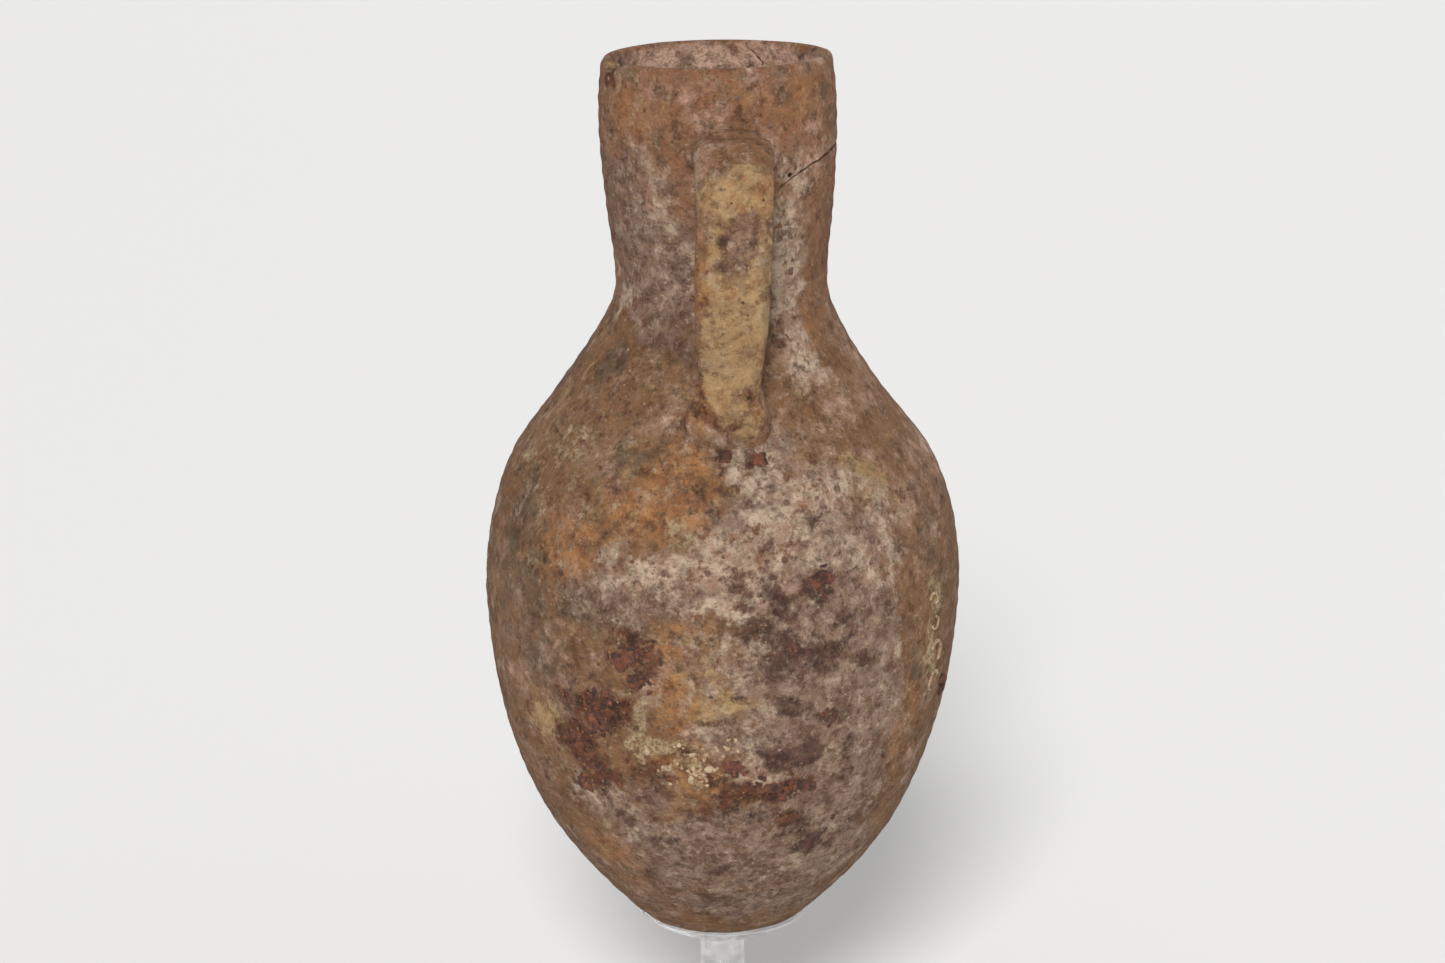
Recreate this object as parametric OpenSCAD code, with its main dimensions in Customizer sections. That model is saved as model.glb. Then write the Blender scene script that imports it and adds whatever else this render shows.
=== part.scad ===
// Two-handled clay amphora with a mended neck, standing in a clear acrylic dish on a stem.
// +Z is up, the front handle is on the -Y side, and the origin is the middle of the stand's underside.

/* [Vessel] */
// Height of the vessel from its rounded tip to the rim
vessel_h = 310; // [300:1:320]
// Greatest outside diameter of the belly
belly_d = 164; // [158:1:170]
// Radius of the flattened, rounded tip
tip_r = 60; // [58:0.5:62]
// Height above the tip where the rounded tip runs into the belly
tip_h = 7.1; // [6.9:0.1:7.3]
// Wall thickness at the tip
wall_tip = 9; // [8:0.5:10]
// Wall thickness at the shoulder
wall_shoulder = 5.5; // [5:0.1:6.5]
// Wall thickness at the lip
wall_lip = 4.6; // [4.2:0.1:5.2]

/* [Handles] */
// Width of the strap at the grip
strap_w = 26; // [22:0.5:28]
// Thickness of the strap at the grip
strap_t = 11; // [9:0.5:13]
// Sideways lean of the front handle, from its foot to its top
handle_lean = 2; // [0:0.5:4]
// Depth of the luting clay smeared round each end
luting_t = 2; // [1.5:0.1:3]

/* [Mend] */
// Height above the tip of the break under the refitted sherd
break_h = 270; // [266:1:274]
// Width of the glue line round the sherd
glue_t = 0.4; // [0.3:0.1:0.8]
// How far the glue stays back from the wall's two faces
glue_recess = 0.8; // [0.5:0.1:1.2]

/* [Stand] */
// Diameter of the base plate
base_d = 116; // [100:2:140]
// Thickness of the base plate
base_t = 8; // [6:0.5:12]
// Diameter of the stem and of the dish's boss
stem_d = 15.6; // [12:0.2:18]
// Length of the stem between the base plate and the boss
stem_l = 38; // [30:1:60]
// Diameter of the spigot at each end of the stem
spigot_d = 8; // [6:0.5:10]
// Length of each spigot
spigot_l = 5; // [4:0.5:5.5]
// Length of the boss under the dish
boss_l = 8; // [7:0.5:12]
// Outside radius of the dish's curved underside
dish_r = 49; // [48.5:0.5:52]
// Height of the dish's edge above the vessel's tip
dish_edge_h = 7; // [6.5:0.1:7.2]
// Thickness of the dish in the middle
dish_t = 3; // [2.6:0.1:4]

/* [Hidden] */
$fn = 96;

clay = [0.58, 0.44, 0.31];
buff = [0.72, 0.60, 0.41];
rust = [0.33, 0.19, 0.13];
lime = [0.80, 0.72, 0.58];
glue = [0.24, 0.18, 0.13];
clear = [0.86, 0.90, 0.88, 0.35];

belly_r = belly_d / 2;
// The vessel rests this far above the dish, so the two bodies never share material.
seat_gap = 0.3;
vessel_z = base_t + stem_l + boss_l + dish_t + seat_gap;

// Outside of the vessel above the rounded tip: [share of the belly radius, share of the height].
stations = [
    [0.425, 0.042], [0.558, 0.079], [0.650, 0.108], [0.766, 0.154], [0.870, 0.217],
    [0.952, 0.295], [0.995, 0.374], [1.000, 0.436], [0.962, 0.499], [0.870, 0.562],
    [0.692, 0.624], [0.546, 0.681], [0.451, 0.734], [0.446, 0.775], [0.469, 0.828],
    [0.489, 0.890], [0.495, 0.953], [0.478, 0.9926]
];
curve_steps = 3;
tip_steps = 7;
lip_steps = 8;

// A point on a Catmull-Rom curve between b and c.
function on_curve(a, b, c, d, t) =
    0.5 * (2 * b + (c - a) * t + (2 * a - 5 * b + 4 * c - d) * t * t
           + (3 * b - a - 3 * c + d) * t * t * t);

// A smooth curve through the points, with steps pieces between neighbours.
function curve_through(p, steps) = let (last = len(p) - 1) [
    for (i = [0 : last - 1], k = [0 : steps - 1])
        on_curve(p[max(i - 1, 0)], p[i], p[i + 1], p[min(i + 2, last)], k / steps),
    p[last]
];

tip_edge_r = sqrt(tip_r * tip_r - pow(tip_r - tip_h, 2));
tip_angle = asin(tip_edge_r / tip_r);
tip_arc = [
    for (i = [0 : tip_steps - 1])
        let (a = tip_angle * i / tip_steps) [tip_r * sin(a), tip_r * (1 - cos(a))]
];
wall_stations = [
    [tip_edge_r, tip_h],
    for (s = stations) [s[0] * belly_r, s[1] * vessel_h]
];
outside = concat(tip_arc, curve_through(wall_stations, curve_steps));
last_i = len(outside) - 1;

function wall_at(h) = lookup(h, [
    [0, wall_tip], [60, (wall_tip + wall_shoulder) / 2],
    [200, wall_shoulder], [vessel_h, wall_lip]
]);
function run_at(i) = i == 0
    ? [1, 0]
    : let (d = outside[min(i + 1, last_i)] - outside[i - 1]) d / norm(d);
// The inside is the outside moved in by the wall, square to the curve.
inside = [
    for (i = [0 : last_i])
        let (d = run_at(i)) outside[i] + wall_at(outside[i][1]) * [-d[1], d[0]]
];
function outside_r(h) = lookup(h, [for (p = outside) [p[1], p[0]]]);

// The shoulder and the neck meet on a bevel that runs down and inwards through the wall.
joint_outer_i = tip_steps + 13 * curve_steps;
joint_inner_i = joint_outer_i - 3;

function backwards(p) = [for (i = [len(p) - 1 : -1 : 0]) p[i]];
function part_of(p, from, to) = [for (i = [from : to]) p[i]];

lip_mid = (outside[last_i] + inside[last_i]) / 2;
lip_half = (outside[last_i] - inside[last_i]) / 2;
lip_arc = [
    for (i = [1 : lip_steps - 1])
        let (a = 180 * i / lip_steps)
            lip_mid + [lip_half[0] * cos(a) - lip_half[1] * sin(a),
                       lip_half[1] * cos(a) + lip_half[0] * sin(a)]
];

module turned(points) {
    rotate_extrude() polygon(points);
}

// Everything inside the vessel's outer face, to cut what sits on it.
module vessel_solid() {
    turned(concat(outside, [[0, outside[last_i][1]]]), $fn = 288);
}

module at_vessel() {
    translate([0, 0, vessel_z]) children();
}

module body() {
    color(clay) at_vessel()
        turned(concat(part_of(outside, 0, joint_outer_i),
                      backwards(part_of(inside, 0, joint_inner_i))));
}

module neck_wall() {
    turned(concat(part_of(outside, joint_outer_i, last_i), lip_arc,
                  backwards(part_of(inside, joint_inner_i, last_i))));
}

// Only the middle of the neck's wall, without the glue's set-back at each face.
module neck_core() {
    rotate_extrude() polygon(concat(
        [for (i = [joint_outer_i : last_i]) outside[i] - [glue_recess, 0]],
        [for (i = [last_i : -1 : joint_outer_i]) inside[i] + [glue_recess, 0]]
    ));
}

// The refitted sherd as seen along X: [distance in Y, height above the break].
sherd_outline = [
    [-31.5, 60], [-32.6, 28], [-31.6, 14], [-33.2, 0], [-29.5, 3], [-24, 5.5], [-15, 7],
    [-5, 8.4], [6, 7.4], [14, 10], [22, 9], [29, 15], [32.5, 23], [31, 32], [34, 41], [33.2, 60]
];
sherd_near = 8;
sherd_far = 60;

module sherd_zone(grow) {
    multmatrix([[0, 0, 1, sherd_near], [1, 0, 0, 0], [0, 1, 0, break_h], [0, 0, 0, 1]])
        linear_extrude(sherd_far - sherd_near)
            polygon([for (p = sherd_outline)
                [p[0] + sign(p[0]) * grow, p[1] - (p[1] < 12 ? grow : 0)]]);
}

module neck() {
    color(clay) at_vessel() difference() {
        neck_wall();
        sherd_zone(glue_t);
    }
}

module neck_sherd() {
    color(clay) at_vessel() intersection() {
        neck_wall();
        sherd_zone(0);
    }
}

module mend_adhesive() {
    color(glue) at_vessel() intersection() {
        neck_core();
        difference() {
            sherd_zone(glue_t);
            sherd_zone(0);
        }
    }
}

// Middle line of a handle and its section: [distance from the axis, height, width, thickness].
handle_stations = [
    [32, 281, 1.14, 1.25], [42, 282.5, 1.08, 1.15], [52, 281, 1.02, 1.04], [59.5, 274, 1.00, 1.00],
    [62.5, 261, 1.00, 1.00], [63.2, 247, 0.99, 1.00], [63, 233, 0.95, 1.00], [62, 220, 0.87, 1.00],
    [59.5, 208, 0.80, 1.05], [54, 196, 0.84, 1.10], [48, 185, 0.86, 1.10]
];
strap_sides = 20;
strap_squareness = 0.8;
path_steps = 3;
handle_path = curve_through(handle_stations, path_steps);
handle_top_h = handle_stations[1][1];
handle_foot_h = handle_stations[9][1];

function soft(x) = sign(x) * pow(abs(x), strap_squareness);
// One ring of the strap round point i of the path. swell makes it fatter all round.
function strap_ring(path, i, swell, lean) =
    let (last = len(path) - 1,
         p = path[i],
         d = path[min(i + 1, last)] - path[max(i - 1, 0)],
         run = [d[0], d[1]] / norm([d[0], d[1]]),
         w = p[2] * strap_w / 2 + swell,
         t = p[3] * strap_t / 2 + swell,
         x = lean * ((p[1] - handle_foot_h) / (handle_top_h - handle_foot_h) - 0.5))
    [for (k = [0 : strap_sides - 1])
        let (a = 360 * k / strap_sides, u = w * soft(cos(a)), v = t * soft(sin(a)))
            [x + u, -(p[0] - run[1] * v), p[1] + run[0] * v]];

// A closed strap along the path, with a swell for each of its rings.
module strap(path, swells, lean) {
    n = strap_sides;
    last = len(path) - 1;
    polyhedron(
        points = [for (i = [0 : last]) each strap_ring(path, i, swells[i], lean)],
        faces = concat(
            [[for (k = [0 : n - 1]) k]],
            [for (i = [0 : last - 1], k = [0 : n - 1])
                [(i + 1) * n + k, (i + 1) * n + (k + 1) % n, i * n + (k + 1) % n, i * n + k]],
            [[for (k = [n - 1 : -1 : 0]) last * n + k]]
        ),
        convexity = 6
    );
}

module whole_strap(lean) {
    strap(handle_path, [for (p = handle_path) 0], lean);
}

module handle(lean) {
    color(buff) at_vessel() difference() {
        whole_strap(lean);
        vessel_solid();
    }
}

// Clay smeared round one end of a handle, thickest against the vessel.
module luting(from, to, lean) {
    root = from == 0 ? 0 : to;
    tail = from == 0 ? to : from;
    color(clay) at_vessel() difference() {
        strap(part_of(handle_path, from, to),
              [for (i = [from : to])
                  luting_edge + (luting_t - luting_edge) * pow((tail - i) / (tail - root), 1.5)], lean);
        whole_strap(lean);
        vessel_solid();
    }
}

luting_edge = 0.4;
upper_luting_end = 2 * path_steps;
lower_luting_start = 8 * path_steps;
path_end = len(handle_path) - 1;

module handle_front() { handle(handle_lean); }
module handle_back() { rotate([0, 0, 180]) handle(-handle_lean / 2); }
module luting_front_upper() { luting(0, upper_luting_end, handle_lean); }
module luting_front_lower() { luting(lower_luting_start, path_end, handle_lean); }
module luting_back_upper() { rotate([0, 0, 180]) luting(0, upper_luting_end, -handle_lean / 2); }
module luting_back_lower() { rotate([0, 0, 180]) luting(lower_luting_start, path_end, -handle_lean / 2); }

// Places a thing on the vessel's outer face, with its own +Z along the outward normal.
// az is in degrees from the front handle towards +X, and h is the height above the tip.
module on_wall(az, h) {
    slope = atan2(outside_r(h + 2) - outside_r(h - 2), 4);
    rotate([0, 0, az - 90]) translate([outside_r(h), 0, h]) rotate([0, 90 + slope, 0]) children();
}

// A low round lump: a ball sunk into the wall until only its cap shows.
module lump(az, h, ball_r, proud) {
    on_wall(az, h) translate([0, 0, proud - ball_r]) sphere(r = ball_r);
}

// [degrees from the front, height above the tip, radius of the ball, height of the cap].
nodule_spots = [
    [-22, 125, 5, 1.5], [-27, 121, 5, 1.4], [-23, 114, 6, 1.6], [-33, 105, 6, 1.8], [-34, 97, 5, 1.8],
    [-42, 88, 5, 2.0], [-37, 81, 6, 2.0], [-42, 73, 5, 1.8], [0, 83, 4, 1.4], [8, 77, 5, 1.8],
    [14, 74, 5, 2.2], [19, 76, 4, 1.6], [23, 100, 5, 1.6], [21, 147, 5, 1.3], [15, 125, 5, 1.3],
    [8, 185, 4, 1.2], [-2, 186, 4, 1.2], [69, 97, 4, 1.8]
];

module iron_nodules() {
    color(rust) at_vessel() difference() {
        for (s = nodule_spots) lump(s[0], s[1], s[2], s[3]);
        vessel_solid();
    }
}

// [degrees from the front, height above the tip, length, turn on the wall, tilt].
flake_spots = [
    [-22, 88, 6, 20, 8], [-17, 83, 7, -15, 10], [-11, 88, 7, 40, -8], [-11, 79, 6, 70, 10],
    [-6, 83, 7, 10, 12], [-2, 91, 5, -40, 9]
];
flake_ratio = 0.6;
flake_t = 1.4;

module lime_flakes() {
    color(lime) at_vessel() difference() {
        for (s = flake_spots)
            on_wall(s[0], s[1]) rotate([s[4], s[4] / 2, s[3]])
                cube([s[2], s[2] * flake_ratio, flake_t], center = true);
        vessel_solid();
    }
}

// Rims of old shells left on the wall: [degrees from the front, height, ring radius, rim thickness].
scar_spots = [[57, 131, 3, 1.3], [58, 123, 2.8, 1.2], [60, 112, 4.6, 1.5], [61, 101, 4.2, 1.4]];

module shell_scars() {
    color(lime) at_vessel() difference() {
        for (s = scar_spots)
            on_wall(s[0], s[1]) rotate_extrude() translate([s[2], 0]) circle(r = s[3] / 2);
        vessel_solid();
    }
}

dish_bottom_z = base_t + stem_l + boss_l;
dish_mid_z = dish_bottom_z + dish_r;
seat_mid_z = vessel_z + tip_r;
edge_z = vessel_z + dish_edge_h;

module stand_dish() {
    color(clear) difference() {
        union() {
            intersection() {
                translate([0, 0, dish_mid_z]) sphere(r = dish_r);
                cylinder(r = dish_r, h = edge_z);
            }
            translate([0, 0, dish_bottom_z - boss_l]) cylinder(d = stem_d, h = boss_l + dish_t / 2);
        }
        translate([0, 0, seat_mid_z]) sphere(r = tip_r + seat_gap);
        translate([0, 0, dish_bottom_z - boss_l - 1]) cylinder(d = spigot_d, h = spigot_l + 1);
    }
}

module stand_stem() {
    color(clear) {
        translate([0, 0, base_t]) cylinder(d = stem_d, h = stem_l);
        translate([0, 0, base_t - spigot_l]) cylinder(d = spigot_d, h = stem_l + 2 * spigot_l);
    }
}

base_edge = 1;
module stand_base() {
    color(clear) difference() {
        rotate_extrude() polygon([
            [0, 0], [base_d / 2 - base_edge, 0], [base_d / 2, base_edge],
            [base_d / 2, base_t - base_edge], [base_d / 2 - base_edge, base_t], [0, base_t]
        ]);
        translate([0, 0, base_t - spigot_l]) cylinder(d = spigot_d, h = spigot_l + 1);
    }
}

body();
neck();
neck_sherd();
mend_adhesive();
handle_front();
handle_back();
luting_front_upper();
luting_front_lower();
luting_back_upper();
luting_back_lower();
iron_nodules();
lime_flakes();
shell_scars();
stand_dish();
stand_stem();
stand_base();
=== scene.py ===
"""A two-handled clay amphora with a mended neck and mineral crust, resting in a clear acrylic stand.

Heights are in millimetres above the vessel's tip. Azimuths are in degrees round the vessel's axis,
from the front handle (-Y) towards +X. Everything is turned to metres in the frame's own axes.
"""
import math
import random

import bmesh
import bpy
import numpy as np
from mathutils import Matrix, Vector, noise


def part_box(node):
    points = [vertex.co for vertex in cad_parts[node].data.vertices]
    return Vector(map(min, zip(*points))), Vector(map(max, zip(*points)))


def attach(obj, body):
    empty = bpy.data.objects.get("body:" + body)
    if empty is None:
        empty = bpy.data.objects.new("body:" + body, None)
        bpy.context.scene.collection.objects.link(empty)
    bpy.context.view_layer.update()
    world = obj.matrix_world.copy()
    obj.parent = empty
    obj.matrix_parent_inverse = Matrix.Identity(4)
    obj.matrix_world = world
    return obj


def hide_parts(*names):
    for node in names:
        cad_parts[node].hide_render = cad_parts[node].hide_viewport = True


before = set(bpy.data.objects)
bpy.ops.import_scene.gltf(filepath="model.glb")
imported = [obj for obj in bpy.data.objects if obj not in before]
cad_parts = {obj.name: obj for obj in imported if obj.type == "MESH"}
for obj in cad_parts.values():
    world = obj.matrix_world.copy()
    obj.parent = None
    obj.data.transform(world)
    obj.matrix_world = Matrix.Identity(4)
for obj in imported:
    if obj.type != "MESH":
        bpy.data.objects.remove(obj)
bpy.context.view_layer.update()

MM = 0.001
TIP_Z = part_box("body")[0].z
VESSEL_H = (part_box("neck")[1].z - TIP_Z) / MM
BELLY_R = (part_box("body")[1].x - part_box("body")[0].x) / 2 / MM


# ---------------------------------------------------------------- the vessel's form

TIP_R = 60.0
TIP_H = 7.1
LIP_HALF = 2.3
JOINT_OUT_H = 227.5
JOINT_IN_H = 208.4

# The outside above the rounded tip: share of the belly's radius, share of the vessel's height.
STATIONS = [
    (0.425, 0.042), (0.558, 0.079), (0.650, 0.108), (0.766, 0.154), (0.870, 0.217),
    (0.952, 0.295), (0.995, 0.374), (1.000, 0.436), (0.962, 0.499), (0.870, 0.562),
    (0.692, 0.624), (0.546, 0.681), (0.451, 0.734), (0.446, 0.775), (0.469, 0.828),
    (0.489, 0.890), (0.495, 0.953), (0.478, 0.9926),
]
# Wall thickness at heights above the tip.
WALL_H = (0, 60, 200, VESSEL_H)
WALL_T = (9.0, 7.25, 5.5, 4.6)


def smooth(edge0, edge1, x):
    """0 below edge0, 1 above edge1, and a soft step between."""
    t = min(max((x - edge0) / (edge1 - edge0), 0.0), 1.0)
    return t * t * (3 - 2 * t)


def curve_through(points, steps):
    """A Catmull-Rom curve through the points, with steps pieces between neighbours."""
    points = [np.array(p, float) for p in points]
    ends = [points[0], *points, points[-1]]
    curve = []
    for i in range(len(points) - 1):
        a, b, c, d = ends[i:i + 4]
        for k in range(steps):
            t = k / steps
            curve.append(0.5 * (2 * b + (c - a) * t + (2 * a - 5 * b + 4 * c - d) * t * t
                                + (3 * b - a - 3 * c + d) * t ** 3))
    return np.array(curve + [points[-1]])


def wall_outline():
    """The vessel's outside from the tip's middle to the lip, as rows of radius and height."""
    tip_edge = math.sqrt(TIP_R ** 2 - (TIP_R - TIP_H) ** 2)
    reach = math.asin(tip_edge / TIP_R)
    angles = np.linspace(0, reach, 12)[:-1]
    tip = np.stack([TIP_R * np.sin(angles), TIP_R * (1 - np.cos(angles))], axis=1)
    stations = [(tip_edge, TIP_H)] + [(r * BELLY_R, h * VESSEL_H) for r, h in STATIONS]
    return np.vstack([tip, curve_through(stations, 16)])


OUTSIDE = wall_outline()


def moved_in(outline):
    """The inside of the wall: the outline moved in, square to itself, by the wall's thickness."""
    run = np.gradient(outline, axis=0)
    run[0] = (1, 0)
    run /= np.linalg.norm(run, axis=1)[:, None]
    thick = np.interp(outline[:, 1], WALL_H, WALL_T)[:, None]
    return outline + thick * np.stack([-run[:, 1], run[:, 0]], axis=1)


INSIDE = moved_in(OUTSIDE)


def outside_r(height):
    return float(np.interp(height, OUTSIDE[:, 1], OUTSIDE[:, 0]))


def spaced(outline, gap):
    """The same outline with its points about gap apart along its length."""
    steps = np.linalg.norm(np.diff(outline, axis=0), axis=1)
    along = np.concatenate([[0], np.cumsum(steps)])
    places = np.linspace(0, along[-1], max(int(along[-1] / gap), 2) + 1)
    return np.stack([np.interp(places, along, outline[:, k]) for k in (0, 1)], axis=1)


def stretch(outline, low, high):
    """The part of an outline between two heights, ending exactly on them."""
    inner = outline[(outline[:, 1] > low) & (outline[:, 1] < high)]
    ends = [(float(np.interp(h, outline[:, 1], outline[:, 0])), h) for h in (low, high)]
    start = [ends[0]] if low > outline[0, 1] else [tuple(outline[0])]
    return np.vstack([start, inner, [ends[1]]])


def place(azimuth, height, radius):
    """A point in the frame, in metres."""
    a = math.radians(azimuth)
    return Vector((radius * math.sin(a) * MM, -radius * math.cos(a) * MM, TIP_Z + height * MM))


def address(point):
    """Azimuth, height and radius of a point in the frame."""
    radius = math.hypot(point.x, point.y) / MM
    return math.degrees(math.atan2(point.x, -point.y)), (point.z - TIP_Z) / MM, radius


def neck_lean(point):
    """The hand-thrown neck leans a little to the left, which also tips the lip."""
    height = (point.z - TIP_Z) / MM
    share = smooth(215, 312, height)
    shift = -2.0 * share
    tip = point.x / MM * 0.020 * share
    return Vector((point.x + shift * MM, point.y, point.z + (tip + 0.2 * share) * MM))


# ---------------------------------------------------------------- stains and crust, by place

# Each patch: azimuth, height, half width, half height in millimetres, strength.
PATCHES = {
    "crust": [
        (-1, 193, 9, 8, 0.8), (8, 183, 14, 12, 1.0), (22, 176, 22, 10, 1.0), (16, 163, 32, 14, 1.0),
        (32, 158, 18, 16, 0.9), (-9, 147, 22, 11, 1.0), (-26, 145, 18, 11, 0.7), (12, 142, 30, 12, 1.0),
        (30, 130, 20, 22, 0.9), (14, 122, 32, 20, 0.9), (31, 100, 22, 26, 0.95), (18, 92, 24, 18, 0.9),
        (-3, 95, 11, 4, 0.8), (30, 68, 22, 20, 0.85), (0, 56, 26, 12, 0.9), (-16, 46, 18, 14, 0.8),
        (-36, 67, 15, 7, 0.9), (-27, 57, 10, 9, 0.95), (-20, 42, 6, 10, 1.0), (26, 42, 30, 12, 0.9),
        (8, 26, 26, 8, 0.7), (33, 245, 8, 34, 1.0), (31, 216, 7, 9, 1.0), (-42, 274, 11, 8, 0.6),
        (-40, 250, 16, 16, 0.55), (-38, 232, 14, 12, 0.75), (-58, 231, 9, 8, 0.6), (150, 120, 40, 34, 0.8),
        (172, 160, 26, 20, 0.7), (-140, 90, 34, 22, 0.7), (-165, 250, 20, 22, 0.6), (-120, 60, 22, 16, 0.6),
        (120, 70, 24, 14, 0.5),
    ],
    "mauve": [
        (24, 126, 26, 22, 0.9), (12, 118, 22, 12, 0.8), (30, 102, 20, 26, 1.0), (20, 92, 22, 12, 0.9),
        (-2, 95, 12, 4, 0.8), (28, 68, 24, 20, 1.0), (-2, 56, 26, 12, 1.0), (-16, 44, 18, 14, 0.9),
        (-33, 64, 14, 7, 0.7), (26, 42, 30, 12, 0.9), (6, 26, 30, 8, 0.9), (-33, 138, 18, 9, 0.7),
        (-18, 141, 14, 6, 0.6), (-38, 104, 14, 9, 0.5), (-24, 76, 8, 8, 0.6), (-44, 246, 18, 18, 0.7),
        (-38, 228, 16, 12, 0.8), (-52, 268, 14, 12, 0.5), (30, 158, 12, 14, 0.5), (0, 171, 7, 7, 0.6),
        (8, 187, 12, 8, 0.4), (-60, 120, 14, 16, 0.4), (160, 130, 34, 30, 0.7), (-150, 86, 30, 20, 0.7),
        (170, 40, 40, 14, 0.7), (110, 60, 24, 16, 0.6), (-170, 240, 18, 18, 0.5), (-100, 200, 16, 14, 0.4),
    ],
    "iron": [
        (-35, 103, 12, 6, 1.0), (-42, 89, 9, 9, 1.0), (-36, 77, 9, 7, 0.9), (-26, 125, 6, 6, 0.9),
        (-20, 120, 5, 5, 0.9), (1, 76, 8, 5, 0.9), (11, 75, 10, 4, 1.0), (-2, 69, 7, 5, 0.7),
        (-8, 66, 8, 5, 0.6), (14, 61, 6, 4, 0.8), (156, 96, 11, 8, 0.9), (140, 104, 8, 6, 0.8),
        (-22, 80, 6, 5, 0.6), (-14, 89, 4, 3, 0.5), (-3, 80, 5, 3, 0.6), (-150, 74, 9, 6, 0.8),
        (-66, 304, 4, 4, 0.9),
    ],
    "plum": [
        (-2, 189, 4, 3, 0.9), (7, 186, 3, 3, 1.0), (3, 143, 6, 5, 0.8), (10, 144, 4, 6, 0.9),
        (21, 146, 6, 5, 0.9), (20, 141, 6, 4, 0.8), (26, 134, 5, 4, 0.7), (13, 124, 15, 10, 0.75),
        (22, 124, 5, 4, 0.9), (5, 133, 10, 7, 0.7), (21, 166, 3, 3, 0.5), (23, 100, 6, 3, 1.0),
        (14, 104, 8, 5, 0.6), (17, 86, 5, 4, 1.0), (10, 87, 4, 3, 0.8), (25, 52, 4, 4, 0.9),
        (33, 45, 3, 3, 0.9), (-3, 42, 4, 3, 0.8), (27, 71, 3, 4, 0.6), (-6, 176, 7, 9, 0.35),
        (30, 88, 3, 3, 0.8), (32, 78, 3, 3, 0.7), (20, 60, 4, 4, 0.7), (-18, 52, 4, 4, 0.6),
        (30, 52, 16, 9, 0.4), (30, 118, 3, 3, 0.7), (27, 126, 3, 4, 0.7), (8, 66, 5, 4, 0.6), (-30, 62, 4, 4, 0.5),
        (160, 140, 9, 7, 0.8), (170, 118, 7, 6, 0.8), (-138, 98, 7, 5, 0.8),
    ],
    "lime": [
        (-22, 92, 7, 4, 1.0), (-17, 90, 6, 3, 0.9), (-12, 86, 7, 4, 1.0), (-8, 84, 5, 3, 0.9),
        (-11, 77, 3, 2, 0.8), (-25, 102, 5, 4, 0.7), (-56, 185, 12, 4, 0.55), (-72, 178, 11, 4, 0.5),
        (-39, 168, 5, 4, 0.7), (-14, 162, 5, 5, 0.8), (-8, 128, 5, 3, 0.9), (58, 132, 3, 7, 0.9),
        (57, 117, 4, 6, 0.8), (58, 108, 5, 7, 0.8), (-118, 160, 9, 6, 0.5),
    ],
    "ochre": [
        (-16, 83, 16, 9, 0.8), (-6, 74, 12, 7, 0.7), (-14, 180, 17, 12, 0.8), (-20, 169, 19, 10, 0.9),
        (-8, 168, 8, 8, 0.8), (-42, 155, 15, 12, 0.8),
        (-13, 127, 10, 7, 0.9), (4, 151, 5, 4, 0.8), (-7, 148, 4, 4, 0.7), (36, 141, 13, 10, 0.45),
        (1, 177, 7, 6, 0.6), (-15, 108, 8, 11, 1.0), (7, 96, 9, 5, 0.8), (18, 95, 6, 4, 0.8),
        (46, 92, 9, 22, 0.6), (19, 78, 8, 5, 0.7), (-10, 68, 10, 6, 0.5), (-2, 31, 18, 4, 0.6),
        (-38, 46, 20, 9, 0.6), (-46, 294, 15, 10, 0.6), (8, 301, 16, 6, 0.5), (38, 298, 13, 10, 0.5),
        (20, 33, 10, 4, 0.6), (44, 220, 8, 7, 0.5), (120, 150, 30, 20, 0.5), (-120, 130, 26, 18, 0.5),
        (175, 200, 24, 12, 0.5),
    ],
    "buff": [
        (-3, 110, 15, 10, 1.35), (-52, 96, 9, 9, 0.8), (-26, 102, 5, 5, 0.5), (38, 177, 15, 8, 0.7),
        (20, 183, 6, 5, 0.6), (-30, 157, 6, 4, 0.9), (-36, 184, 16, 8, 0.35), (130, 180, 16, 10, 0.5),
        (-155, 140, 14, 10, 0.6),
    ],
    "soot": [
        (-38, 134, 13, 8, 0.95), (-52, 114, 9, 8, 0.95), (-31, 184, 9, 5, 0.4), (52, 108, 5, 9, 0.8),
        (-59, 211, 6, 5, 0.8), (-26, 216, 5, 4, 0.7), (55, 299, 2.5, 4, 0.9), (-95, 150, 14, 12, 0.4),
        (105, 120, 12, 16, 0.4), (-62, 150, 14, 26, 0.5), (-50, 128, 12, 14, 0.5), (60, 150, 8, 30, 0.3),
        (-40, 262, 12, 12, 0.4), (-70, 250, 10, 30, 0.4), (-34, 222, 12, 10, 0.4), (24, 224, 8, 8, 0.3),
    ],
}
LAYERS = (*PATCHES, "inner")


def wander(point, size, seed):
    """A smooth vector between -1 and 1 that changes over size millimetres."""
    return noise.noise_vector(point / (size * MM) + Vector((seed, seed * 1.7, -seed)))


def rough(point, size, seed=0.0, octaves=4):
    """Fractal noise about -1 to 1 whose largest lumps are size millimetres."""
    spot = point / (size * MM) + Vector((seed, -seed * 2.3, seed * 0.6))
    return noise.fractal(spot, 0.8, 2.1, octaves)


def layer_strengths(point, azimuth, height):
    """How much of each layer lies on the outside at a point, 0 to 1."""
    drift = wander(point, 16, 3.1) * 5.0 + wander(point, 5, 8.7) * 2.2
    radius = max(outside_r(height), 15.0)
    found = {}
    for layer, patches in PATCHES.items():
        most = 0.0
        for spot_az, spot_h, half_w, half_h, strength in patches:
            up = height + drift.z - spot_h
            if abs(up) > half_h * 1.7:
                continue
            turn = (azimuth - spot_az + 180) % 360 - 180
            across = math.radians(turn) * radius + drift.x
            far = math.hypot(across / half_w, up / half_h)
            most = max(most, strength * smooth(1.55, 0.45, far) if far < 1.55 else 0.0)
        found[layer] = most
    found["inner"] = 0.0
    return found


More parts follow.
